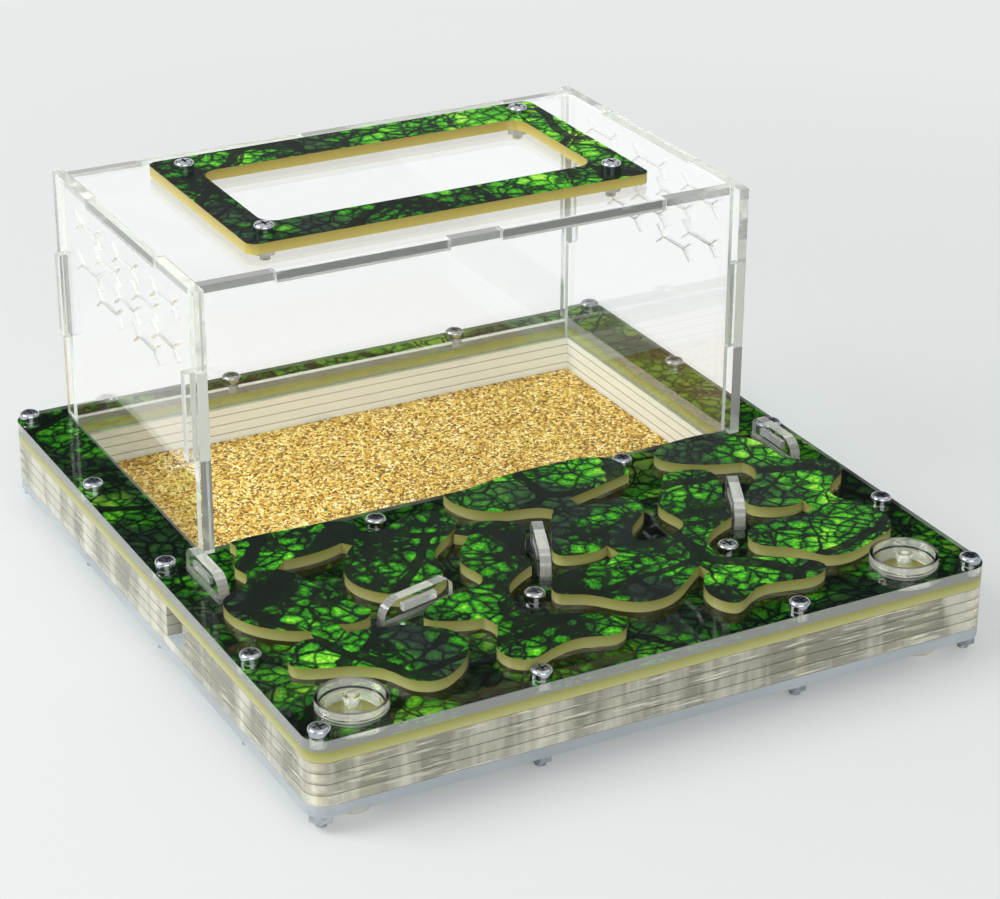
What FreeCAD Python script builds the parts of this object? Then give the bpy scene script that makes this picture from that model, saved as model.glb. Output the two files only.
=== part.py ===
import FreeCAD, Part
import math
import os

# Ant habitat: a nest of stacked 3 mm acrylic sheets under a printed sheet, with a clear arena box on its back half.
# Plan coordinates run from the base's front left corner, x right, y back, z up from the base's underside.
# Each node is written moved, so that the origin is the middle of the footprint on the surface it stands on.

# Base and stack
base_width = 196.0
base_depth = 208.0
base_corner = 5.5
sheet_thick = 3.0
foot_height = 5.0
floor_top = sheet_thick
layer_1_top = 2 * sheet_thick
layer_2_top = 3 * sheet_thick
layer_3_top = 4 * sheet_thick
layer_4_top = 5 * sheet_thick
print_top = 6 * sheet_thick
cover_top = 7 * sheet_thick
plate_top = cover_top + sheet_thick

# Arena box
arena_left = 15.6
arena_right = 181.8
arena_front = 104.0
arena_back = 200.7
arena_top = 95.5
wall_ear = 3.0
slip = 0.1
tray_ledge_side = 2.0
tray_ledge_end = 1.2
joint_tab_low = 47.0
joint_tab_high = 72.0
joint_tab_proud = 2.0
lid_notches_x = ((40.0, 90.5), (106.0, 157.0))
lid_notch_y = (128.0, 178.0)
lid_gap = 0.15

# Printed frame on the lid
frame_center = (99.0, 153.2)
frame_size = (121.6, 72.0)
frame_hole = (100.8, 44.4)
frame_corner = 3.0
frame_hole_corner = 5.0
frame_screw_inset = (8.0, 8.5)

# Fasteners, M3
screw_radius = 1.47
screw_hole_radius = 1.6
head_radius = 2.85
head_height = 2.2
recess_span = 3.2
recess_width = 0.7
recess_depth = 1.2
nut_flats = 5.5
nut_height = 2.4
nut_bore_radius = 1.5
base_screw_length = 25.0
lid_screw_length = 10.0
base_screws = (
    (4.0, 4.0), (4.0, 44.0), (4.0, 99.5), (4.0, 152.5), (4.0, 204.0),
    (192.0, 4.0), (192.0, 44.5), (192.0, 99.7), (192.0, 152.0), (192.0, 203.8),
    (63.6, 4.0), (138.6, 4.0), (66.5, 204.2), (141.5, 204.2),
    (63.5, 96.4), (141.2, 98.2), (81.2, 39.6), (139.4, 39.5),
)

# Water wells and their caps
wells = {"left": (16.3, 11.9), "right": (176.3, 11.6)}
well_radius = 7.8
cap_radius = 9.1
cap_rim = 0.9
cap_height = 3.0
cap_floor = 1.0
cap_boss_radius = 2.1
cap_boss_height = 3.2
cap_vent_radius = 1.0
cap_plug_radius = 7.5
cap_plug_depth = 2.6
cap_plug_wall = 0.8

# Feet
foot_radius = 5.0
feet = ((15.0, 10.0), (181.0, 10.0), (15.0, 198.0), (181.0, 198.0))

# Gates: near end and far end of each centre line
gate_length_slip = 0.2
gate_slot_slip = 0.15
gate_rise = 5.8
gate_round_near = 5.0
gate_round_far = 2.6
gate_grip_length = 11.0
gate_grip_height = 1.9
gate_grip_low = 1.7
gates = {
    "gate_left": ((10.6, 76.0), (10.6, 97.5)),
    "gate_right": ((185.9, 77.7), (185.9, 98.0)),
    "gate_ab": ((40.4, 45.7), (62.5, 51.4)),
    "gate_bc": ((89.4, 48.6), (97.8, 69.4)),
    "gate_cd": ((149.8, 49.9), (158.8, 68.9)),
}

# Ways between the chambers, out to the sides and into the arena. They are spread over the sheets, so that no
# sheet is cut in two.
passage_width = 9.0
port_width = 11.0
side_ports = (((0.0, 84.5), (22.0, 84.5)), ((176.0, 85.6), (base_width, 85.6)))
port_gates = ("gate_left", "gate_right")
layer_3_passages = (((53.6, 40.0), (49.2, 56.8)), ((147.5, 62.6), (161.5, 56.0)))
layer_4_passages = (((87.5, 61.5), (100.5, 56.3)), ((35.0, 96.0), (35.0, 110.0)))

# Sand in the tray
sand_gap = 0.3
sand_depth = 1.7

# Vents: slits in the shape of a bar with two arms at each end, in staggered rows
slit_width = 0.35
vent_bar = 11.0
vent_arm = (3.7, 2.8)
vent_row_pitch = 6.0
vent_column_pitch = 27.7
vent_row_counts = (3, 2, 3, 2)
vent_top_row = (150.4, 86.1)

# Shade plates: each outline is a chain of runs between corners. A run of two points is straight.
shade_plates = {
    "a": (
        ((22.1, 99.1), (30.0, 99.6), (42.9, 98.6), (52.0, 97.4), (56.2, 94.2), (55.4, 90.2), (58.0, 87.3),
         (63.5, 88.4), (71.4, 91.8), (78.2, 90.3), (80.9, 86.3), (78.6, 79.3), (71.4, 73.3), (66.6, 67.2),
         (64.3, 57.9), (60.2, 54.3), (50.4, 51.8), (44.4, 56.0), (40.9, 65.0), (43.2, 73.5), (50.0, 82.5)),
        ((50.0, 82.5), (47.9, 85.1)),
        ((47.9, 85.1), (39.8, 83.1), (30.7, 83.2)),
        ((30.7, 83.2), (27.1, 79.6)),
        ((27.1, 79.6), (30.9, 72.0), (32.9, 62.9), (36.0, 55.0), (39.0, 48.6)),
        ((39.0, 48.6), (37.4, 45.7), (28.2, 45.0)),
        ((28.2, 45.0), (28.6, 40.5)),
        ((28.6, 40.5), (38.5, 38.7), (47.5, 34.3), (53.2, 26.4), (50.4, 17.4), (44.3, 11.4), (37.6, 8.9),
         (32.6, 11.7), (29.6, 18.2), (23.8, 23.9), (14.3, 27.5), (9.7, 30.8), (11.2, 37.2), (20.0, 41.5)),
        ((20.0, 41.5), (20.6, 45.5)),
        ((20.6, 45.5), (13.2, 50.2), (8.0, 57.4), (6.6, 65.4), (8.6, 71.0), (14.6, 74.3), (18.5, 80.6),
         (17.7, 84.6), (20.2, 90.5), (22.1, 99.1)),
    ),
    "b": (
        ((76.6, 76.0), (80.7, 79.0), (86.0, 79.2), (92.4, 76.4), (95.0, 71.6), (91.6, 64.0), (88.0, 56.8),
         (86.4, 50.7)),
        ((86.4, 50.7), (79.3, 46.6), (74.8, 41.6), (73.4, 36.4), (70.7, 32.1)),
        ((70.7, 32.1), (72.4, 28.9), (80.5, 24.4), (90.2, 18.2), (92.6, 12.8), (88.4, 8.9), (80.7, 10.6),
         (74.6, 11.0), (68.0, 8.9), (62.0, 7.6), (58.6, 10.4), (58.3, 17.2), (62.4, 24.2), (61.8, 31.4)),
        ((61.8, 31.4), (54.6, 33.4), (49.0, 38.2), (53.6, 43.6), (61.4, 46.2), (68.0, 47.0)),
        ((68.0, 47.0), (72.0, 51.6), (70.8, 59.2), (73.6, 66.2), (79.6, 73.0)),
        ((79.6, 73.0), (76.6, 76.0)),
    ),
    "c": (
        ((85.0, 98.5), (94.3, 98.9), (105.0, 101.2), (120.0, 101.8), (131.0, 101.0), (136.6, 97.6),
         (138.0, 92.6), (136.8, 86.8)),
        ((136.8, 86.8), (126.0, 83.6), (114.3, 80.4)),
        ((114.3, 80.4), (114.6, 75.7)),
        ((114.6, 75.7), (120.4, 74.6), (126.4, 74.9), (130.4, 70.9), (128.2, 64.4), (122.2, 59.0),
         (118.2, 50.0)),
        ((118.2, 50.0), (127.4, 49.2), (134.0, 53.4), (133.2, 63.6), (136.6, 70.4), (144.3, 80.7)),
        ((144.3, 80.7), (150.0, 81.4), (156.8, 77.9), (156.4, 70.8), (151.4, 61.4), (147.5, 50.5)),
        ((147.5, 50.5), (140.6, 47.2), (135.0, 42.6), (132.7, 37.0), (133.5, 32.0)),
        ((133.5, 32.0), (141.4, 27.1), (150.6, 21.6), (154.2, 15.7), (150.4, 12.2), (143.6, 12.0),
         (134.6, 13.6), (128.2, 11.2), (122.6, 8.6), (119.6, 12.2), (120.0, 20.0), (125.4, 26.4)),
        ((125.4, 26.4), (125.0, 30.4)),
        ((125.0, 30.4), (118.4, 25.4), (110.6, 20.4), (102.4, 19.9), (96.2, 24.4), (90.0, 30.8),
         (84.8, 34.2), (86.9, 40.6), (97.0, 44.0), (110.0, 46.0)),
        ((110.0, 46.0), (109.3, 51.4)),
        ((109.3, 51.4), (101.6, 50.0), (95.2, 53.0), (98.0, 61.0), (102.4, 69.4), (107.1, 76.4)),
        ((107.1, 76.4), (104.0, 79.2), (94.3, 81.8), (87.8, 86.4), (85.0, 92.6), (85.0, 98.5)),
    ),
    "d": (
        ((149.3, 94.3), (153.6, 97.4), (162.4, 98.9), (171.8, 97.9), (177.4, 92.8), (180.2, 84.0),
         (181.0, 75.6), (185.4, 71.2), (191.2, 68.2), (190.6, 61.6), (183.6, 55.7), (179.2, 49.8),
         (182.6, 41.6), (185.2, 32.6), (181.4, 25.2), (173.0, 21.4), (164.3, 18.6), (157.4, 20.0),
         (152.4, 27.2), (144.8, 34.2), (147.6, 42.0), (157.6, 43.8), (170.0, 44.3)),
        ((170.0, 44.3), (169.8, 49.9)),
        ((169.8, 49.9), (161.6, 49.6), (155.8, 54.6), (161.6, 63.6), (168.9, 72.4), (168.2, 77.9)),
        ((168.2, 77.9), (161.6, 79.9), (152.4, 85.2), (148.9, 89.6), (149.3, 94.3)),
    ),
}


def vec(x, y, z=0.0):
    return FreeCAD.Vector(x, y, z)


def block(x0, y0, z0, x1, y1, z1):
    return Part.makeBox(x1 - x0, y1 - y0, z1 - z0, vec(x0, y0, z0))


def rod(x, y, z0, z1, radius):
    return Part.makeCylinder(radius, z1 - z0, vec(x, y, z0))


def rounded_block(x0, y0, z0, x1, y1, z1, radius):
    solid = block(x0, y0, z0, x1, y1, z1)
    uprights = [edge for edge in solid.Edges if abs(edge.tangentAt(edge.FirstParameter).z) > 0.9]
    return solid.makeFillet(radius, uprights)


def run_edge(points):
    if len(points) == 2:
        return Part.LineSegment(vec(*points[0]), vec(*points[1])).toShape()
    curve = Part.BSplineCurve()
    curve.interpolate([vec(*point) for point in points])
    return curve.toShape()


def outline_prism(runs, z0, z1):
    face = Part.Face(Part.Wire([run_edge(points) for points in runs]))
    face.translate(vec(0, 0, z0))
    return face.extrude(vec(0, 0, z1 - z0))


def strip(start, end, width, z0, z1):
    # a straight bar of rectangular section along the line from start to end
    length = math.dist(start, end)
    bar = Part.makeBox(length, width, z1 - z0, vec(0, -width / 2, z0))
    bar.rotate(vec(0, 0), vec(0, 0, 1), math.degrees(math.atan2(end[1] - start[1], end[0] - start[0])))
    bar.translate(vec(start[0], start[1]))
    return bar


def chambers(z0, z1):
    return [outline_prism(runs, z0, z1) for runs in shade_plates.values()]


def screw_holes(z0, z1):
    return [rod(x, y, z0, z1, screw_hole_radius) for x, y in base_screws]


def well_holes(z0, z1):
    return [rod(x, y, z0, z1, well_radius) for x, y in wells.values()]


def gate_slots(z0, z1, names):
    slots = []
    for name in names:
        start, end = gates[name]
        length = math.dist(start, end)
        grow = gate_length_slip / length
        near = [s - grow * (e - s) for s, e in zip(start, end)]
        far = [e + grow * (e - s) for s, e in zip(start, end)]
        slots.append(strip(near, far, sheet_thick + 2 * gate_slot_slip, z0, z1))
    return slots


def base_sheet(z0, cutters):
    # one sheet of the stack: the base outline less its screw holes and the given cutters
    z1 = z0 + sheet_thick
    solid = rounded_block(0, 0, z0, base_width, base_depth, z1, base_corner)
    return solid.cut(screw_holes(z0, z1) + cutters)


def tray_cut(z0, side, end):
    z1 = z0 + sheet_thick
    return block(arena_left + side, arena_front + end, z0, arena_right - side, arena_back - end, z1)


def screw(x, y, seat, length):
    # pan head M3 screw with a cross recess, head seated at seat, pointing down
    head = rod(x, y, seat, seat + head_height, head_radius)
    head = head.makeFillet(0.9, [edge for edge in head.Edges if edge.CenterOfMass.z > seat + head_height - 0.01])
    top = seat + head_height
    along = block(x - recess_span / 2, y - recess_width / 2, top - recess_depth,
                  x + recess_span / 2, y + recess_width / 2, top)
    across = block(x - recess_width / 2, y - recess_span / 2, top - recess_depth,
                   x + recess_width / 2, y + recess_span / 2, top)
    shank = rod(x, y, seat - length, seat, screw_radius)
    return head.fuse(shank).cut([along, across]).removeSplitter()


def nut(x, y, z0):
    radius = nut_flats / math.sqrt(3)
    corners = [vec(x + radius * math.cos(math.radians(60 * i)), y + radius * math.sin(math.radians(60 * i)), z0)
               for i in range(6)]
    face = Part.Face(Part.makePolygon(corners + corners[:1]))
    return face.extrude(vec(0, 0, nut_height)).cut(rod(x, y, z0, z0 + nut_height, nut_bore_radius))


def vent_slits(x0):
    # slits through an upright sheet that starts at x0: each is a level bar with two slanted arms at each end
    slits = []
    arm_length = math.hypot(*vent_arm)
    arm_angle = math.degrees(math.atan2(vent_arm[1], vent_arm[0]))
    for row, count in enumerate(vent_row_counts):
        z = vent_top_row[1] - row * vent_row_pitch
        for column in range(count):
            y = vent_top_row[0] + (column - (count - 1) / 2) * vent_column_pitch
            pieces = [(0.0, -vent_bar / 2, vent_bar, 0)]
            pieces += [(end * vent_bar / 2, 0, arm_length, 90 - end * 90 + lean * end * arm_angle)
                       for end in (-1, 1) for lean in (-1, 1)]
            for offset, start, length, angle in pieces:
                slit = block(x0 - 1, start, -slit_width / 2, x0 + sheet_thick + 1, start + length, slit_width / 2)
                slit.rotate(vec(0, 0), vec(1, 0, 0), angle)
                slit.translate(vec(0, y + offset, z))
                slits.append(slit)
    return slits


def side_wall(x0):
    x1 = x0 + sheet_thick
    body = block(x0, arena_front - wall_ear, cover_top, x1, arena_back + wall_ear, arena_top)
    tongue = block(x0, arena_front, layer_4_top, x1, arena_back, cover_top)
    cutters = [block(x0, lid_notch_y[0], arena_top - sheet_thick, x1, lid_notch_y[1], arena_top)]
    for y0 in (arena_front, arena_back - sheet_thick):
        cutters.append(block(x0, y0, joint_tab_low, x1, y0 + sheet_thick, joint_tab_high))
    return body.fuse(tongue).removeSplitter().cut(cutters + vent_slits(x0))


def cross_wall(y0):
    y1 = y0 + sheet_thick
    body = block(arena_left + sheet_thick, y0, layer_4_top, arena_right - sheet_thick, y1, arena_top)
    tabs = block(arena_left - joint_tab_proud, y0, joint_tab_low, arena_right + joint_tab_proud, y1, joint_tab_high)
    cutters = [block(x0, y0, arena_top - sheet_thick, x1, y1, arena_top) for x0, x1 in lid_notches_x]
    return body.fuse(tabs).removeSplitter().cut(cutters)


def lid_screw_places():
    half_x = frame_size[0] / 2 - frame_screw_inset[0]
    half_y = frame_size[1] / 2 - frame_screw_inset[1]
    return [(frame_center[0] + sx * half_x, frame_center[1] + sy * half_y) for sx in (-1, 1) for sy in (-1, 1)]


def lid_plate():
    z0 = arena_top - sheet_thick
    inner = block(arena_left + sheet_thick + lid_gap, arena_front + sheet_thick + lid_gap, z0,
                  arena_right - sheet_thick - lid_gap, arena_back - sheet_thick - lid_gap, arena_top)
    tabs = [block(x0 + lid_gap, arena_front, z0, x1 - lid_gap, arena_back, arena_top) for x0, x1 in lid_notches_x]
    tabs.append(block(arena_left, lid_notch_y[0] + lid_gap, z0, arena_right, lid_notch_y[1] - lid_gap, arena_top))
    holes = [rod(x, y, z0, arena_top, screw_hole_radius) for x, y in lid_screw_places()]
    return inner.fuse(tabs).removeSplitter().cut(holes)


def lid_frame():
    cx, cy = frame_center
    width, depth = frame_size
    hole_width, hole_depth = frame_hole
    z0 = arena_top
    z1 = arena_top + sheet_thick
    outer = rounded_block(cx - width / 2, cy - depth / 2, z0, cx + width / 2, cy + depth / 2, z1, frame_corner)
    inner = rounded_block(cx - hole_width / 2, cy - hole_depth / 2, z0,
                          cx + hole_width / 2, cy + hole_depth / 2, z1, frame_hole_corner)
    holes = [rod(x, y, z0, z1, screw_hole_radius) for x, y in lid_screw_places()]
    return outer.cut([inner] + holes)


def gate(start, end, bottom):
    # an upright tab: square in the stack, D-shaped above the cover, with a slot to grip it by
    length = math.dist(start, end)
    top = cover_top + gate_rise
    near = gate_round_near
    far = gate_round_far
    blank = block(0, -sheet_thick / 2, bottom, length, sheet_thick / 2, top)
    ends = {0: near, 1: far}
    for side, radius in ends.items():
        edges = [edge for edge in blank.Edges
                 if abs(edge.CenterOfMass.x - side * length) < 0.01 and abs(edge.CenterOfMass.z - top) < 0.01]
        blank = blank.makeFillet(radius, edges)
    grip_x = length / 2 + 0.6
    grip_z = cover_top + gate_grip_low
    grip = block(grip_x - gate_grip_length / 2, -sheet_thick, grip_z,
                 grip_x + gate_grip_length / 2, sheet_thick, grip_z + gate_grip_height)
    blank = blank.cut(grip)
    blank.rotate(vec(0, 0), vec(0, 0, 1), math.degrees(math.atan2(end[1] - start[1], end[0] - start[0])))
    blank.translate(vec(start[0], start[1]))
    return blank


def water_cap(x, y):
    # a dish with a raised rim, a vented boss in its middle and a hollow plug in the well's mouth
    dish = rod(x, y, cover_top, cover_top + cap_height, cap_radius)
    dish = dish.cut(rod(x, y, cover_top + cap_floor, cover_top + cap_height, cap_radius - cap_rim))
    boss = rod(x, y, cover_top, cover_top + cap_boss_height, cap_boss_radius)
    plug = rod(x, y, cover_top - cap_plug_depth, cover_top, cap_plug_radius)
    plug = plug.cut(rod(x, y, cover_top - cap_plug_depth, cover_top, cap_plug_radius - cap_plug_wall))
    body = dish.fuse([boss, plug]).removeSplitter()
    return body.cut(rod(x, y, cover_top, cover_top + cap_boss_height, cap_vent_radius))


def foot(x, y):
    pad = rod(x, y, -foot_height, 0, foot_radius)
    return pad.makeFillet(1.0, [edge for edge in pad.Edges if edge.CenterOfMass.z < -foot_height + 0.01])


def sand_bed():
    return block(arena_left + tray_ledge_side + sand_gap, arena_front + tray_ledge_end + sand_gap, floor_top,
                 arena_right - tray_ledge_side - sand_gap, arena_back - tray_ledge_end - sand_gap,
                 floor_top + sand_depth)


def build_nodes():
    nodes = {}
    nodes["bottom_plate"] = base_sheet(0.0, [])
    for number in (1, 2, 3, 4):
        z0 = number * sheet_thick
        z1 = z0 + sheet_thick
        cutters = [tray_cut(z0, tray_ledge_side, tray_ledge_end)] + well_holes(z0, z1)
        if number == 2:
            cutters += gate_slots(z0, z1, port_gates)
        if number >= 2:
            cutters += [strip(a, b, port_width, z0, z1) for a, b in side_ports]
        if number >= 3:
            cutters += chambers(z0, z1) + gate_slots(z0, z1, gates)
            passages = layer_3_passages if number == 3 else layer_4_passages
            cutters += [strip(a, b, passage_width, z0, z1) for a, b in passages]
        nodes["spacer_layer_%d" % number] = base_sheet(z0, cutters)
    z0 = layer_4_top
    nodes["leaf_print_sheet"] = base_sheet(z0, [tray_cut(z0, -slip, -slip)] + well_holes(z0, print_top)
                                           + chambers(z0, print_top) + gate_slots(z0, print_top, gates))
    z0 = print_top
    nodes["cover_sheet"] = base_sheet(z0, [tray_cut(z0, -slip, -slip)] + well_holes(z0, cover_top)
                                      + gate_slots(z0, cover_top, gates))
    nodes["base_screws"] = Part.makeCompound([screw(x, y, cover_top, base_screw_length) for x, y in base_screws])
    nodes["base_nuts"] = Part.makeCompound([nut(x, y, -nut_height) for x, y in base_screws])
    nodes["rubber_feet"] = Part.makeCompound([foot(x, y) for x, y in feet])
    nodes["sand_bed"] = sand_bed()
    nodes["arena_wall_left"] = side_wall(arena_left)
    nodes["arena_wall_right"] = side_wall(arena_right - sheet_thick)
    nodes["arena_wall_front"] = cross_wall(arena_front)
    nodes["arena_wall_back"] = cross_wall(arena_back - sheet_thick)
    nodes["lid_plate"] = lid_plate()
    nodes["lid_frame"] = lid_frame()
    frame_top = arena_top + sheet_thick
    nodes["lid_screws"] = Part.makeCompound([screw(x, y, frame_top, lid_screw_length)
                                             for x, y in lid_screw_places()])
    nut_z = arena_top - sheet_thick - nut_height
    nodes["lid_nuts"] = Part.makeCompound([nut(x, y, nut_z) for x, y in lid_screw_places()])
    for letter, runs in shade_plates.items():
        nodes["shade_plate_" + letter] = outline_prism(runs, cover_top, plate_top)
    for name, (start, end) in gates.items():
        nodes[name] = gate(start, end, layer_1_top if name in port_gates else layer_2_top)
    for side, (x, y) in wells.items():
        nodes["water_cap_" + side] = water_cap(x, y)
    return nodes


os.makedirs("parts", exist_ok=True)
to_origin = vec(-base_width / 2, -base_depth / 2, foot_height)
for name, shape in build_nodes().items():
    shape.translate(to_origin)
    box = shape.BoundBox
    print("%-18s solids %2d valid %s z %.2f to %.2f" % (name, len(shape.Solids), shape.isValid(), box.ZMin, box.ZMax))
    shape.exportStep("parts/%s.step" % name)
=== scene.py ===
import bpy
import math
import random
from mathutils import Matrix, Vector


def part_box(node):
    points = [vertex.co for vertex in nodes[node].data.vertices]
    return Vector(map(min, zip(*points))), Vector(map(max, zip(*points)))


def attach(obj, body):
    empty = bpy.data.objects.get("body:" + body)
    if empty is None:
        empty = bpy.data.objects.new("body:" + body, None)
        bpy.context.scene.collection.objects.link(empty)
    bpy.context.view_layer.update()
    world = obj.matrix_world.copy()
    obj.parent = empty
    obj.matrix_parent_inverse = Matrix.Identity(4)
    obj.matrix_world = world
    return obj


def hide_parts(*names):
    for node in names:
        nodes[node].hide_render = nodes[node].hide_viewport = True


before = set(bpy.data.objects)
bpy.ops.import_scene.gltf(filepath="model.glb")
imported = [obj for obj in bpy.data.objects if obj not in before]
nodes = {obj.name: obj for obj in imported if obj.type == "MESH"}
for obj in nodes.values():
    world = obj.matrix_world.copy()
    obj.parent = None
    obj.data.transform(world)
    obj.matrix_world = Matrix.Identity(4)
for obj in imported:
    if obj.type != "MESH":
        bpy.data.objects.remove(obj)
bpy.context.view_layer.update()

mm = 0.001
print("frame loaded:", len(nodes), "nodes")


# colour and node helpers

def linear(hexColor):  # sRGB hex to a linear colour
    parts = [int(hexColor[i:i + 2], 16) / 255 for i in (1, 3, 5)]
    return [c / 12.92 if c <= 0.04045 else ((c + 0.055) / 1.055) ** 2.4 for c in parts] + [1.0]


def addNode(tree, kind, settings=None, inputs=None, stops=None):
    # one node, its settings and its inputs, which are values, sockets or nodes
    # stops are a ramp's places and hexes
    node = tree.nodes.new("ShaderNode" + kind)
    for name, value in (settings or {}).items():
        setattr(node, name, value)
    for i, (place, hexColor) in enumerate(stops or ()):
        element = node.color_ramp.elements[i] if i < 2 else node.color_ramp.elements.new(place)
        element.position = place
        element.color = linear(hexColor)
    for name, value in (inputs or {}).items():
        if isinstance(value, bpy.types.Node):
            value = value.outputs[0]
        if isinstance(value, bpy.types.NodeSocket):
            tree.links.new(value, node.inputs[name])
        else:
            node.inputs[name].default_value = value
    return node


def newMaterial(name):
    material = bpy.data.materials.new(name)
    material.use_nodes = True
    material.node_tree.nodes.clear()
    return material, material.node_tree


def objectPoint(tree, perMm):  # object coordinates, so many units to a millimetre
    coords = addNode(tree, "TexCoord")
    return addNode(tree, "VectorMath", {"operation": "SCALE"}, {0: coords.outputs["Object"], "Scale": perMm / mm})


def faceMask(tree, across):  # 1 where the surface looks along the sheet's own normal, either way
    geometry = addNode(tree, "NewGeometry")
    dot = addNode(tree, "VectorMath", {"operation": "DOT_PRODUCT"},
                  {0: geometry.outputs["True Normal"], 1: across})
    size = addNode(tree, "Math", {"operation": "ABSOLUTE"}, {0: dot.outputs["Value"]})
    return addNode(tree, "MapRange", None, {0: size, 1: 0.7, 2: 0.8})


def upMask(tree):  # 1 on surfaces that look up
    geometry = addNode(tree, "NewGeometry")
    split = addNode(tree, "SeparateXYZ", None, {0: geometry.outputs["True Normal"]})
    return addNode(tree, "MapRange", None, {0: split.outputs["Z"], 1: 0.5, 2: 0.6})


def lightThrough(tree, shader, tint):  # shadow rays pass, so that what is behind clear sheet is lit
    path = addNode(tree, "LightPath")
    clear = addNode(tree, "BsdfTransparent", None, {"Color": linear(tint)})
    mix = addNode(tree, "MixShader", None, {0: path.outputs["Is Shadow Ray"], 1: shader, 2: clear})
    addNode(tree, "OutputMaterial", None, {"Surface": mix})


# cast acrylic, clear: faces polished from the mould, edges cut by laser, so they are brighter and finely ribbed

clearLook = {
    "ior": 1.49,
    "faceTint": "#FDFEFE",
    "edgeTint": "#F8F8F2",
    "edgeRoughness": 0.06,
    "edgeHaze": 0.36,  # arena walls
    "smallHaze": 0.24,  # gates
    "coverHaze": 0.26,  # cover and lid
    "stackClear": ("#D8D3B4", 0.2),  # tint and haze of the stack's clear bands
    # painted highlights: the lit-up bands and streaks of the stack's edges get a paler, hazier shader
    "stackLitPaintedHighlight": ("#F7F2DE", 0.7),  # of its lit-up bands
    # painted light: the stack's edges round the tray are painted pale, as if lit through the sheets
    "stackTrayPaintedLight": ("#FFFFF6", 0.85),  # and of its edges round the tray
    "bandMm": 11.0,
    "bandPerMmUp": 0.02,  # the bands hardly change with height
    "bandNoise": (0.42, 0.62),
    "bandLitShare": (0.2, 0.8),
    "streakPerMm": (0.09, 0.09, 1.6),  # the streaks lie level
    "streakNoise": (0.52, 0.7),
    "sheetMm": 3.0,
    "jointMm": 0.22,
    "jointShare": 0.65,
    "jointColor": "#6E685A",
    "ribMm": 0.45,
    "ribHeight": 0.03,
    "shadowTint": "#F3F6F5",
}


def cutRibs(tree, across):  # laser ribs run through the sheet, along its own normal
    squeeze = [0.03 if abs(part) > 0.8 else 1.0 for part in across]
    point = objectPoint(tree, 1.0 / clearLook["ribMm"])
    stretched = addNode(tree, "VectorMath", {"operation": "MULTIPLY"}, {0: point, 1: squeeze})
    noise = addNode(tree, "TexNoise", None, {"Vector": stretched, "Scale": 1.0, "Detail": 1.0})
    edge = addNode(tree, "Math", {"operation": "SUBTRACT"}, {0: 1.0, 1: faceMask(tree, across)})
    height = addNode(tree, "Math", {"operation": "MULTIPLY"}, {0: noise.outputs["Fac"], 1: edge})
    return addNode(tree, "Bump", None, {
        "Strength": 1.0, "Distance": clearLook["ribHeight"] * mm, "Height": height})


def stackEdge(tree, bump, bottomMm):
    # the sheets' ends: clear bands, lit-up bands and level streaks that are painted highlights, joint lines, and
    # pale edges round the tray that are painted light coming through the sheets
    point = objectPoint(tree, 1.0)
    across = 1.0 / clearLook["bandMm"]
    upright = addNode(tree, "VectorMath", {"operation": "MULTIPLY"},
                      {0: point, 1: (across, across, clearLook["bandPerMmUp"])})
    bands = addNode(tree, "TexNoise", None, {"Vector": upright, "Scale": 1.0, "Detail": 4.0, "Roughness": 0.6})
    (noiseLow, noiseHigh), (shareLow, shareHigh) = clearLook["bandNoise"], clearLook["bandLitShare"]
    litBand = addNode(tree, "MapRange", None, {
        0: bands.outputs["Fac"], 1: noiseLow, 2: noiseHigh, 3: shareLow, 4: shareHigh})
    level = addNode(tree, "VectorMath", {"operation": "MULTIPLY"}, {0: point, 1: clearLook["streakPerMm"]})
    streaks = addNode(tree, "TexNoise", None, {"Vector": level, "Scale": 1.0, "Detail": 3.0, "Roughness": 0.55})
    noiseLow, noiseHigh = clearLook["streakNoise"]
    litStreak = addNode(tree, "MapRange", None, {0: streaks.outputs["Fac"], 1: noiseLow, 2: noiseHigh})
    # painted highlight: where a band or a streak is lit, the paler, hazier shader takes over
    lit = addNode(tree, "Math", {"operation": "MAXIMUM"}, {0: litBand, 1: litStreak})

    height = addNode(tree, "SeparateXYZ", None, {0: point}).outputs["Z"]
    height = addNode(tree, "Math", {"operation": "SUBTRACT"}, {0: height, 1: bottomMm})
    away = addNode(tree, "Math", {"operation": "PINGPONG"}, {0: height, 1: clearLook["sheetMm"] / 2})
    joint = addNode(tree, "MapRange", None, {
        0: away, 1: clearLook["jointMm"] / 2, 2: clearLook["jointMm"], 3: clearLook["jointShare"], 4: 0.0})

    # painted light: round the tray the edges turn to the palest, haziest shader
    low, high = (Vector(corner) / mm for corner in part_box("sand_bed"))
    fromTray = addNode(tree, "VectorMath", {"operation": "SUBTRACT"}, {0: point, 1: (low + high) / 2})
    share = addNode(tree, "VectorMath", {"operation": "DIVIDE"}, {0: fromTray, 1: (high - low) / 2})
    share = addNode(tree, "VectorMath", {"operation": "ABSOLUTE"}, {0: share})
    span = addNode(tree, "SeparateXYZ", None, {0: share})
    widest = addNode(tree, "Math", {"operation": "MAXIMUM"}, {0: span.outputs["X"], 1: span.outputs["Y"]})
    trayPaintedLight = addNode(tree, "MapRange", None, {0: widest, 1: 1.02, 2: 1.03, 3: 1.0, 4: 0.0})

    edges = []
    lineColor = linear(clearLook["jointColor"])
    for tint, haze in (clearLook["stackClear"], clearLook["stackLitPaintedHighlight"], clearLook["stackTrayPaintedLight"]):
        color = addNode(tree, "Mix", {"data_type": "RGBA"}, {0: joint, 6: linear(tint), 7: lineColor})
        edges.append(addNode(tree, "BsdfPrincipled", None, {
            "Base Color": color.outputs[2], "Roughness": clearLook["edgeRoughness"], "IOR": clearLook["ior"],
            "Transmission Weight": 1.0 - haze, "Normal": bump}))
    outside = addNode(tree, "MixShader", None, {0: lit, 1: edges[0], 2: edges[1]})
    return addNode(tree, "MixShader", None, {0: trayPaintedLight, 1: outside, 2: edges[2]})


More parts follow.
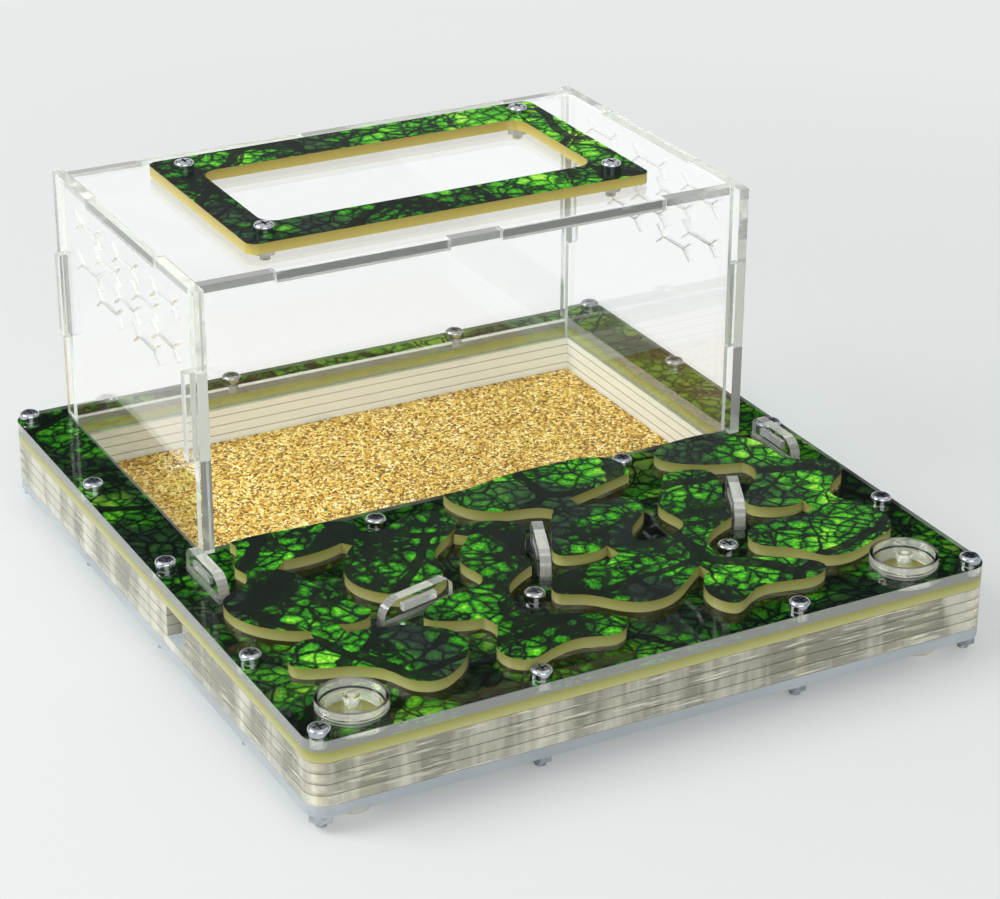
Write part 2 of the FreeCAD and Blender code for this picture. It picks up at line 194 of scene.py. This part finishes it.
def clearAcrylic(name, across, haze=0.0, stackBottomMm=None):  # a stacked sheet has its own hazes
    material, tree = newMaterial(name)
    bump = cutRibs(tree, across)
    face = addNode(tree, "BsdfPrincipled", None, {
        "Base Color": linear(clearLook["faceTint"]), "Roughness": 0.0, "IOR": clearLook["ior"],
        "Transmission Weight": 1.0})
    if stackBottomMm is None:
        edge = addNode(tree, "BsdfPrincipled", None, {
            "Base Color": linear(clearLook["edgeTint"]), "Roughness": clearLook["edgeRoughness"],
            "IOR": clearLook["ior"], "Transmission Weight": 1.0 - haze, "Normal": bump})
    else:
        edge = stackEdge(tree, bump, stackBottomMm)
    mix = addNode(tree, "MixShader", None, {0: faceMask(tree, across), 1: edge, 2: face})
    lightThrough(tree, mix, clearLook["shadowTint"])
    return material


# polystyrene, clear, injection moulded: glassy all over, with a faint milkiness that lights up its rims

mouldedLook = {"tint": "#FFFFF8", "ior": 1.59, "haze": 0.17, "rippleMm": 3.0, "rippleHeight": 0.01}


def clearPolystyrene():
    material, tree = newMaterial("clearPolystyreneMoulded")
    point = objectPoint(tree, 1.0 / mouldedLook["rippleMm"])
    ripple = addNode(tree, "TexNoise", None, {"Vector": point, "Scale": 1.0})
    bump = addNode(tree, "Bump", None, {
        "Strength": 1.0, "Distance": mouldedLook["rippleHeight"] * mm, "Height": ripple.outputs["Fac"]})
    side = addNode(tree, "BsdfPrincipled", None, {
        "Base Color": linear(mouldedLook["tint"]), "Roughness": 0.03, "IOR": mouldedLook["ior"],
        "Transmission Weight": 1.0 - mouldedLook["haze"], "Normal": bump})
    flat = addNode(tree, "BsdfPrincipled", None, {
        "Base Color": linear(mouldedLook["tint"]), "Roughness": 0.0, "IOR": mouldedLook["ior"],
        "Transmission Weight": 1.0})
    mix = addNode(tree, "MixShader", None, {0: faceMask(tree, (0.0, 0.0, 1.0)), 1: side, 2: flat})
    lightThrough(tree, mix, clearLook["shadowTint"])
    return material


# cast acrylic, milky: a satin sheet that scatters light, bluish where it is thick

milkyLook = {
    "roughness": 0.28,
    "transmission": 0.35,
    "scatter": 0.2,
    "scatterMm": 3.0,
    "cloudMm": 40.0,
    "colors": ((0.3, "#BAC2C8"), (0.7, "#CDD4D9")),
    "shadowTint": "#6F777B",
}


def milkyAcrylic():
    material, tree = newMaterial("milkyAcrylicSatin")
    point = objectPoint(tree, 1.0 / milkyLook["cloudMm"])
    noise = addNode(tree, "TexNoise", None, {"Vector": point, "Scale": 1.0, "Detail": 2.0})
    color = addNode(tree, "ValToRGB", None, {"Fac": noise.outputs["Fac"]}, milkyLook["colors"])
    shader = addNode(tree, "BsdfPrincipled", None, {
        "Base Color": color, "Roughness": milkyLook["roughness"], "IOR": clearLook["ior"],
        "Transmission Weight": milkyLook["transmission"], "Subsurface Weight": milkyLook["scatter"],
        "Subsurface Scale": milkyLook["scatterMm"] * mm})
    lightThrough(tree, shader, milkyLook["shadowTint"])
    return material


# tinted acrylic with a glossy print on top: a leaf's vein net, four sizes of cell in one another

leafLook = {
    "midribCellMm": 56.0,
    "midribWidthMm": 2.6,
    "branchCellMm": 16.0,
    "branchWidthMm": 0.6,
    "netCellMm": 4.6,
    "netWidthMm": 0.34,
    "veinletCellMm": 2.0,
    "veinletWidthMm": 0.2,
    "softMm": 0.25,
    "wanderMm": 1.1,
    "wanderPerMm": 0.09,
    "patchMm": 30.0,
    # painted light: the print is painted brighter near this corner and darker far from it
    "paintedLightCornerMm": (98.0, 80.0, 0.0),
    "paintedLightReachMm": (20.0, 130.0),
    "paintedLightLift": (0.22, -0.26),
    "baseLift": -0.13,
    "patchShare": 1.3,  # shares: how far each layer lifts or darkens the print
    "cellShare": 0.3,
    "grainShare": 0.5,
    "veinletShare": -0.14,
    "rimShare": -0.28,
    "shadowPerMm": 0.024,
    "shadowNoise": (0.51, 0.6),
    "shadowDepth": 0.8,
    "netCover": 0.8,  # covers: how dark each size of vein is
    "branchCover": 0.9,
    "midribCover": 0.94,
    "cellColors": ((0.0, "#031008"), (0.18, "#0E380B"), (0.38, "#2B8710"), (0.6, "#56C41F"), (0.86, "#BDF24E")),
    "veinColor": "#050D07",
    "shadowColor": "#262D2D",
    # painted light: each edge colour is lighter at the sheet's bottom and darker at its top, and the lid frame's
    # gold is a brighter copy of the olive
    "edgeOlive": ((0.1, "#D0CD84"), (0.95, "#A9A856")),
    "edgeGoldPaintedLight": ((0.1, "#E8D468"), (0.95, "#C6B24E")),
    "edgeRoughness": 0.14,
    "edgeTransmission": 0.3,
    "printRoughness": 0.22,
    "printGloss": 0.15,
    "lidFrameGloss": 0.02,  # low, or the print up there mirrors the white world and its blacks turn grey
    # painted light and shade: each copy of the print is painted brighter or darker by its own lift
    "underCoverPaintedLight": -0.02,  # lifts: how much brighter or darker each print is
    "lidFramePaintedLight": -0.22,
    "platePaintedLight": -0.14,
}


def veinMask(tree, point, cellMm, widthMm, softMm):  # 1 on the borders between cells of this size
    cells = addNode(tree, "TexVoronoi", {"feature": "DISTANCE_TO_EDGE"},
                    {"Vector": point, "Scale": 1.0 / cellMm, "Randomness": 1.0})
    distance = addNode(tree, "Math", {"operation": "MULTIPLY"}, {0: cells.outputs["Distance"], 1: cellMm})
    return addNode(tree, "MapRange", {"interpolation_type": "SMOOTHSTEP"},
                   {0: distance, 1: widthMm / 2, 2: widthMm / 2 + softMm, 3: 1.0, 4: 0.0})


def leafColor(tree, paintedLift):
    flat = addNode(tree, "VectorMath", {"operation": "MULTIPLY"}, {0: objectPoint(tree, 1.0), 1: (1.0, 1.0, 0.0)})
    wander = addNode(tree, "TexNoise", None, {"Vector": flat, "Scale": leafLook["wanderPerMm"], "Detail": 2.0})
    centred = addNode(tree, "VectorMath", {"operation": "SUBTRACT"},
                      {0: wander.outputs["Color"], 1: (0.5, 0.5, 0.5)})
    point = addNode(tree, "VectorMath", {"operation": "MULTIPLY_ADD"},
                    {0: centred, 1: [leafLook["wanderMm"] * 4] * 3, 2: flat})
    midribs = veinMask(tree, point, leafLook["midribCellMm"], leafLook["midribWidthMm"], leafLook["softMm"])
    branches = veinMask(tree, point, leafLook["branchCellMm"], leafLook["branchWidthMm"], leafLook["softMm"])
    net = veinMask(tree, point, leafLook["netCellMm"], leafLook["netWidthMm"], leafLook["softMm"])
    veinlets = veinMask(tree, point, leafLook["veinletCellMm"], leafLook["veinletWidthMm"], leafLook["softMm"])
    rims = veinMask(tree, point, leafLook["netCellMm"], 0.0, leafLook["netCellMm"] * 0.4)

    # each cell has its own shade, darker towards its veins, and wide patches are lit or in shadow
    cells = addNode(tree, "TexVoronoi", None, {"Vector": point, "Scale": 1.0 / leafLook["netCellMm"]})
    cellShade = addNode(tree, "SeparateColor", None, {0: cells.outputs["Color"]})
    patches = addNode(tree, "TexNoise", None, {"Vector": flat, "Scale": 1.0 / leafLook["patchMm"], "Detail": 1.0})
    grain = addNode(tree, "TexNoise", None, {"Vector": flat, "Scale": 1.1, "Detail": 2.0})
    # painted light: the print is lifted near one corner and darkened far from it
    corner = addNode(tree, "VectorMath", {"operation": "DISTANCE"}, {0: flat, 1: leafLook["paintedLightCornerMm"]})
    (reachNear, reachFar), (liftNear, liftFar) = leafLook["paintedLightReachMm"], leafLook["paintedLightLift"]
    paintedCornerLight = addNode(tree, "MapRange", None, {
        0: corner.outputs["Value"], 1: reachNear, 2: reachFar, 3: liftNear, 4: liftFar})
    lit = leafLook["baseLift"]
    for layer, share in ((patches.outputs["Fac"], leafLook["patchShare"]), (cellShade, leafLook["cellShare"]),
                         (grain.outputs["Fac"], leafLook["grainShare"]), (veinlets, leafLook["veinletShare"]),
                         (rims, leafLook["rimShare"]), (paintedCornerLight, 1.0)):
        lit = addNode(tree, "Math", {"operation": "MULTIPLY_ADD"}, {0: layer, 1: share, 2: lit})
    # painted light and shade: this copy's own lift
    lit = addNode(tree, "Math", {"operation": "ADD"}, {0: lit, 1: paintedLift})
    color = addNode(tree, "ValToRGB", None, {"Fac": lit}, leafLook["cellColors"])
    shade = addNode(tree, "TexNoise", None, {
        "Vector": flat, "Scale": leafLook["shadowPerMm"], "Detail": 2.0, "Distortion": 0.4})
    noiseLow, noiseHigh = leafLook["shadowNoise"]
    shadow = addNode(tree, "MapRange", {"interpolation_type": "SMOOTHSTEP"},
                     {0: shade.outputs["Fac"], 1: noiseLow, 2: noiseHigh, 3: 0.0, 4: leafLook["shadowDepth"]})
    for mask, share, over in ((shadow, 1.0, "shadowColor"), (net, leafLook["netCover"], "veinColor"),
                              (branches, leafLook["branchCover"], "veinColor"),
                              (midribs, leafLook["midribCover"], "veinColor")):
        part = addNode(tree, "Math", {"operation": "MULTIPLY"}, {0: mask, 1: share})
        mixed = addNode(tree, "Mix", {"data_type": "RGBA"}, {0: part, 6: color, 7: linear(leafLook[over])})
        color = mixed.outputs[2]
    return color


def leafPrint(name, paintedLift, bottomMm, edgeColors, gloss):
    material, tree = newMaterial(name)
    printed = addNode(tree, "BsdfPrincipled", None, {
        "Base Color": leafColor(tree, paintedLift), "Roughness": leafLook["printRoughness"], "IOR": clearLook["ior"],
        "Specular IOR Level": gloss})
    bump = cutRibs(tree, (0.0, 0.0, 1.0))
    height = addNode(tree, "SeparateXYZ", None, {0: objectPoint(tree, 1.0)}).outputs["Z"]
    level = addNode(tree, "MapRange", None, {0: height, 1: bottomMm, 2: bottomMm + clearLook["sheetMm"]})
    # painted light: the cut edge is painted lighter at the sheet's bottom and darker at its top
    edgeColor = addNode(tree, "ValToRGB", None, {"Fac": level}, leafLook[edgeColors])
    tinted = addNode(tree, "BsdfPrincipled", None, {
        "Base Color": edgeColor, "Roughness": leafLook["edgeRoughness"], "IOR": clearLook["ior"],
        "Transmission Weight": leafLook["edgeTransmission"], "Normal": bump})
    mix = addNode(tree, "MixShader", None, {0: upMask(tree), 1: tinted, 2: printed})
    addNode(tree, "OutputMaterial", None, {"Surface": mix})
    return material


# steel, bright zinc plated, cold headed: hard small highlights, threads as fine rings down the shank

zincLook = {
    "colors": ((0.3, "#A2A7AC"), (0.7, "#C4C8CC")),
    "roughness": 0.14,
    "threadMm": 0.5,
    "threadHeight": 0.12,
    "stainMm": 1.5,
}


def zincSteel(name, topOfShank):  # topOfShank: height above which there is head and no thread
    material, tree = newMaterial(name)
    height = addNode(tree, "SeparateXYZ", None, {0: objectPoint(tree, 1.0)}).outputs["Z"]
    turns = addNode(tree, "Math", {"operation": "DIVIDE"}, {0: height, 1: zincLook["threadMm"]})
    rings = addNode(tree, "Math", {"operation": "PINGPONG"}, {0: turns, 1: 0.5})
    below = addNode(tree, "Math", {"operation": "LESS_THAN"}, {0: height, 1: topOfShank / mm})
    thread = addNode(tree, "Math", {"operation": "MULTIPLY"}, {0: rings, 1: below})
    bump = addNode(tree, "Bump", None, {
        "Strength": 1.0, "Distance": zincLook["threadHeight"] * mm, "Height": thread})
    point = objectPoint(tree, 1.0 / zincLook["stainMm"])
    stain = addNode(tree, "TexNoise", None, {"Vector": point, "Scale": 1.0})
    color = addNode(tree, "ValToRGB", None, {"Fac": stain.outputs["Fac"]}, zincLook["colors"])
    shader = addNode(tree, "BsdfPrincipled", None, {
        "Base Color": color, "Metallic": 1.0, "Roughness": zincLook["roughness"], "Normal": bump})
    addNode(tree, "OutputMaterial", None, {"Surface": shader})
    return material


# silicone rubber, moulded: matt and slightly see-through

rubberLook = {"colors": ((0.3, "#CFCBB4"), (0.7, "#E0DDCB")), "roughness": 0.55, "grainMm": 0.8}


def siliconeRubber():
    material, tree = newMaterial("siliconeRubberMoulded")
    point = objectPoint(tree, 1.0 / rubberLook["grainMm"])
    noise = addNode(tree, "TexNoise", None, {"Vector": point, "Scale": 1.0})
    color = addNode(tree, "ValToRGB", None, {"Fac": noise.outputs["Fac"]}, rubberLook["colors"])
    bump = addNode(tree, "Bump", None, {"Strength": 0.4, "Distance": 0.05 * mm, "Height": noise.outputs["Fac"]})
    shader = addNode(tree, "BsdfPrincipled", None, {
        "Base Color": color, "Roughness": rubberLook["roughness"], "IOR": 1.43,
        "Subsurface Weight": 0.3, "Subsurface Scale": 0.002, "Normal": bump})
    addNode(tree, "OutputMaterial", None, {"Surface": shader})
    return material


# quartz sand: grains of gold, cream and brown, each with its own shade

sandLook = {
    "grainMm": 0.75,
    "grainColors": ((0.0, "#5E3C0C"), (0.16, "#9A6C1A"), (0.42, "#D2A238"), (0.7, "#F0CA62"), (0.92, "#FFEBA0"),
                    (1.0, "#FFFAD2")),
    "grainHeight": 0.3,
    "relief": 0.35,
    "stepMm": 0.5,
    "swellMm": 0.5,
    "meanShare": 0.62,  # of the slab's height
    "edgeShare": 0.5,
    "lowestShare": 0.2,
    "seed": 7,
}


def quartzSand():
    material, tree = newMaterial("quartzSandLoose")
    point = objectPoint(tree, 1.0 / sandLook["grainMm"])
    grains = addNode(tree, "TexVoronoi", None, {"Vector": point, "Scale": 1.0})
    shade = addNode(tree, "SeparateColor", None, {0: grains.outputs["Color"]})
    color = addNode(tree, "ValToRGB", None, {"Fac": shade}, sandLook["grainColors"])
    height = addNode(tree, "Math", {"operation": "SUBTRACT"}, {0: 1.0, 1: grains.outputs["Distance"]})
    bump = addNode(tree, "Bump", None, {
        "Strength": 1.0, "Distance": sandLook["grainHeight"] * mm, "Height": height})
    shader = addNode(tree, "BsdfPrincipled", None, {
        "Base Color": color, "Roughness": 0.6, "IOR": 1.54, "Normal": bump})
    addNode(tree, "OutputMaterial", None, {"Surface": shader})
    return material


# what each node is made of

gateNormals = {  # the way that each gate's flat sides look
    "gate_left": (1.0, 0.0, 0.0),
    "gate_right": (1.0, 0.0, 0.0),
    "gate_ab": (-0.25, 0.968, 0.0),
    "gate_bc": (0.927, -0.374, 0.0),
    "gate_cd": (0.904, -0.428, 0.0),
}
levelClear = clearAcrylic("clearAcrylicLevelSheet", (0.0, 0.0, 1.0), clearLook["coverHaze"])
sideClear = clearAcrylic("clearAcrylicSideSheet", (1.0, 0.0, 0.0), clearLook["edgeHaze"])
crossClear = clearAcrylic("clearAcrylicCrossSheet", (0.0, 1.0, 0.0), clearLook["edgeHaze"])
stackClear = clearAcrylic("clearAcrylicStackedSheet", (0.0, 0.0, 1.0),
                          stackBottomMm=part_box("spacer_layer_1")[0].z / mm)
mouldedClear = clearPolystyrene()

finishes = {
    "bottom_plate": milkyAcrylic(),
    "leaf_print_sheet": leafPrint("tintedAcrylicPrintedUnderCover", leafLook["underCoverPaintedLight"],
                                  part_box("leaf_print_sheet")[0].z / mm, "edgeOlive", leafLook["printGloss"]),
    "lid_frame": leafPrint("tintedAcrylicPrintedLidFrame", leafLook["lidFramePaintedLight"],
                           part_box("lid_frame")[0].z / mm, "edgeGoldPaintedLight", leafLook["lidFrameGloss"]),
    "base_screws": zincSteel("zincSteelBaseScrews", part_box("cover_sheet")[1].z),
    "lid_screws": zincSteel("zincSteelLidScrews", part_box("lid_frame")[1].z),
    "rubber_feet": siliconeRubber(),
}
leafBare = leafPrint("tintedAcrylicPrinted", leafLook["platePaintedLight"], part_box("shade_plate_a")[0].z / mm,
                     "edgeOlive", leafLook["printGloss"])
plainZinc = zincSteel("zincSteelNuts", -1.0)
for name in nodes:
    if name in finishes:
        continue
    if name.startswith("shade_plate"):
        finishes[name] = leafBare
    elif name.endswith("nuts"):
        finishes[name] = plainZinc
    elif name in ("arena_wall_left", "arena_wall_right"):
        finishes[name] = sideClear
    elif name in ("arena_wall_front", "arena_wall_back"):
        finishes[name] = crossClear
    elif name.startswith("spacer_layer"):
        finishes[name] = stackClear
    elif name in gateNormals:
        gateName = "clearAcrylicGate" + name[5:].title()
        finishes[name] = clearAcrylic(gateName, gateNormals[name], clearLook["smallHaze"])
    elif name.startswith("water_cap"):
        finishes[name] = mouldedClear
    else:
        finishes[name] = levelClear
for name, material in finishes.items():
    nodes[name].data.materials.clear()
    nodes[name].data.materials.append(material)
print("materials on", len(finishes), "nodes")


# sand: a rough loose surface on the tray's floor

def looseSand():
    low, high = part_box("sand_bed")
    step = sandLook["stepMm"] * mm
    countX = int((high.x - low.x) / step)
    countY = int((high.y - low.y) / step)
    chance = random.Random(sandLook["seed"])
    full = high.z - low.z
    points, faces = [], []
    for j in range(countY + 1):
        for i in range(countX + 1):
            x = low.x + (high.x - low.x) * i / countX
            y = low.y + (high.y - low.y) * j / countY
            swell = math.sin(x * 61) * math.cos(y * 47 + 1) + 0.5 * math.sin(x * 133 + y * 90)
            z = full * sandLook["meanShare"] + swell * sandLook["swellMm"] * 0.4 * mm
            z += chance.uniform(-1, 1) * sandLook["relief"] * 0.5 * mm
            edge = i in (0, countX) or j in (0, countY)
            kept = full * sandLook["edgeShare"] if edge else min(max(z, full * sandLook["lowestShare"]), full)
            points.append((x, y, low.z + kept))
    row = countX + 1
    for j in range(countY):
        for i in range(countX):
            a = j * row + i
            faces.append((a, a + 1, a + row + 1, a + row))
    rim = list(range(row)) + [j * row + countX for j in range(1, countY + 1)]
    rim += [countY * row + i for i in range(countX - 1, -1, -1)] + [j * row for j in range(countY - 1, 0, -1)]
    first = len(points)
    points += [(points[k][0], points[k][1], low.z) for k in rim]
    for k in range(len(rim)):
        following = (k + 1) % len(rim)
        faces.append((rim[k], first + k, first + following, rim[following]))
    faces.append([first + k for k in range(len(rim) - 1, -1, -1)])
    mesh = bpy.data.meshes.new("loose_sand")
    mesh.from_pydata(points, [], faces)
    mesh.update()
    sand = bpy.data.objects.new("loose_sand", mesh)
    bpy.context.scene.collection.objects.link(sand)
    mesh.materials.append(quartzSand())
    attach(sand, "base")
    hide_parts("sand_bed")
    return sand


looseSand()
print("sand laid")


# camera, at the photograph's angle

cameraLook = {
    "placeMm": (-329.4, -629.2, 372.7),
    "turnDegrees": -28.227,
    "tiltDegrees": 25.089,
    "rollDegrees": 0.286,
    "lensMm": 102.81,
    "shift": (-0.0031, -0.0090),
}


def addCamera():
    turn, tilt, roll = (math.radians(cameraLook[k]) for k in ("turnDegrees", "tiltDegrees", "rollDegrees"))
    right = Vector((math.cos(turn), math.sin(turn), 0.0))
    back = Vector((math.cos(tilt) * math.sin(turn), -math.cos(tilt) * math.cos(turn), math.sin(tilt)))
    up = back.cross(right)
    rolledRight = right * math.cos(roll) + up * math.sin(roll)
    rolledUp = up * math.cos(roll) - right * math.sin(roll)
    data = bpy.data.cameras.new("camera")
    data.sensor_width = 36.0
    data.lens = cameraLook["lensMm"]
    data.shift_x, data.shift_y = cameraLook["shift"]
    data.clip_end = 20.0
    camera = bpy.data.objects.new("camera", data)
    axes = Matrix((rolledRight, rolledUp, back)).transposed().to_4x4()
    camera.matrix_world = Matrix.Translation(Vector(cameraLook["placeMm"]) * mm) @ axes
    bpy.context.scene.collection.objects.link(camera)
    bpy.context.scene.camera = camera


addCamera()


# floor and light: a pale matt floor under large soft boxes

studioLook = {
    "floorColor": "#DDE0DF",
    "worldColors": ((0.0, "#FFFFFF"), (0.8, "#E4E8EA")),
    "worldStrength": 0.68,
    "mirroredColors": ((0.0, "#FFFFFF"), (0.365, "#FFFFFF"), (0.395, "#3A3E42"), (0.5, "#3A3E42"),
                       (0.66, "#FFFFFF")),
    "keyWatts": 9.0,
    "fillWatts": 4.4,
    "floorWhites": ((0.2, "#EAECEB"), (0.6, "#EDEEEE")),
    "floorWhiteShare": (0.3, 0.85),
    "floorThroughGlass": "#FFFFFF",
    "floorHalf": 6.0,  # metres, like the lamps' places
    "keyPlace": (-0.85, 0.25, 0.75),
    "keySize": (0.7, 0.5),
    "fillPlace": (-0.25, -1.1, 0.6),
    "fillSize": (0.9, 0.4),
    "aim": (0, 0, 0.03),
}


def addFloor():
    mesh = bpy.data.meshes.new("studio_floor")
    size = studioLook["floorHalf"]
    mesh.from_pydata([(-size, -size, 0), (size, -size, 0), (size, size, 0), (-size, size, 0)], [], [(0, 1, 2, 3)])
    floor = bpy.data.objects.new("studio_floor", mesh)
    bpy.context.scene.collection.objects.link(floor)
    material, tree = newMaterial("studioFloorMatt")
    away = addNode(tree, "VectorMath", {"operation": "LENGTH"}, {0: objectPoint(tree, 0.001)})
    color = addNode(tree, "ValToRGB", None, {"Fac": away.outputs["Value"]}, studioLook["floorWhites"])
    shader = addNode(tree, "BsdfPrincipled", None, {
        "Base Color": linear(studioLook["floorColor"]), "Roughness": 0.7})
    seen = addNode(tree, "Emission", None, {"Color": color, "Strength": 1.0})
    white = addNode(tree, "Emission", None, {"Color": linear(studioLook["floorThroughGlass"]), "Strength": 1.0})
    path = addNode(tree, "LightPath")
    nearShare, farShare = studioLook["floorWhiteShare"]
    share = addNode(tree, "MapRange", None, {
        0: away.outputs["Value"], 1: 0.12, 2: 0.5, 3: nearShare, 4: farShare})
    part = addNode(tree, "Math", {"operation": "MULTIPLY"}, {0: path.outputs["Is Camera Ray"], 1: share})
    mix = addNode(tree, "MixShader", None, {0: part, 1: shader, 2: seen})
    part = addNode(tree, "Math", {"operation": "MULTIPLY"}, {0: path.outputs["Is Transmission Ray"], 1: farShare})
    mix = addNode(tree, "MixShader", None, {0: part, 1: mix, 2: white})
    addNode(tree, "OutputMaterial", None, {"Surface": mix})
    mesh.materials.append(material)


def addLamp(name, place, size, watts):
    data = bpy.data.lights.new(name, "AREA")
    data.shape = "RECTANGLE"
    data.size, data.size_y = size
    data.energy = watts
    lamp = bpy.data.objects.new(name, data)
    lamp.location = place
    lamp.rotation_euler = (Vector(studioLook["aim"]) - Vector(place)).to_track_quat("-Z", "Y").to_euler()
    bpy.context.scene.collection.objects.link(lamp)


def addWorld():
    world = bpy.data.worlds.new("studio")
    bpy.context.scene.world = world
    world.use_nodes = True
    tree = world.node_tree
    tree.nodes.clear()
    coords = addNode(tree, "TexCoord")
    split = addNode(tree, "SeparateXYZ", None, {0: coords.outputs["Generated"]})
    color = addNode(tree, "ValToRGB", None, {"Fac": split.outputs["Z"]}, studioLook["worldColors"])
    light = addNode(tree, "Background", None, {"Color": color, "Strength": studioLook["worldStrength"]})
    seen = addNode(tree, "Background", None, {"Color": color, "Strength": 1.0})
    mirrored = addNode(tree, "ValToRGB", None, {"Fac": split.outputs["Z"]}, studioLook["mirroredColors"])
    gloss = addNode(tree, "Background", None, {"Color": mirrored, "Strength": 1.0})
    path = addNode(tree, "LightPath")
    direct = addNode(tree, "Math", {"operation": "MAXIMUM"},
                     {0: path.outputs["Is Camera Ray"], 1: path.outputs["Is Transmission Ray"]})
    mix = addNode(tree, "MixShader", None, {0: direct, 1: light, 2: seen})
    mix = addNode(tree, "MixShader", None, {0: path.outputs["Is Glossy Ray"], 1: mix, 2: gloss})
    addNode(tree, "OutputWorld", None, {"Surface": mix})


addFloor()
addWorld()
addLamp("key_softbox", studioLook["keyPlace"], studioLook["keySize"], studioLook["keyWatts"])
addLamp("fill_softbox", studioLook["fillPlace"], studioLook["fillSize"], studioLook["fillWatts"])
bpy.context.scene.view_settings.view_transform = "Standard"
print("camera, floor and lights set")
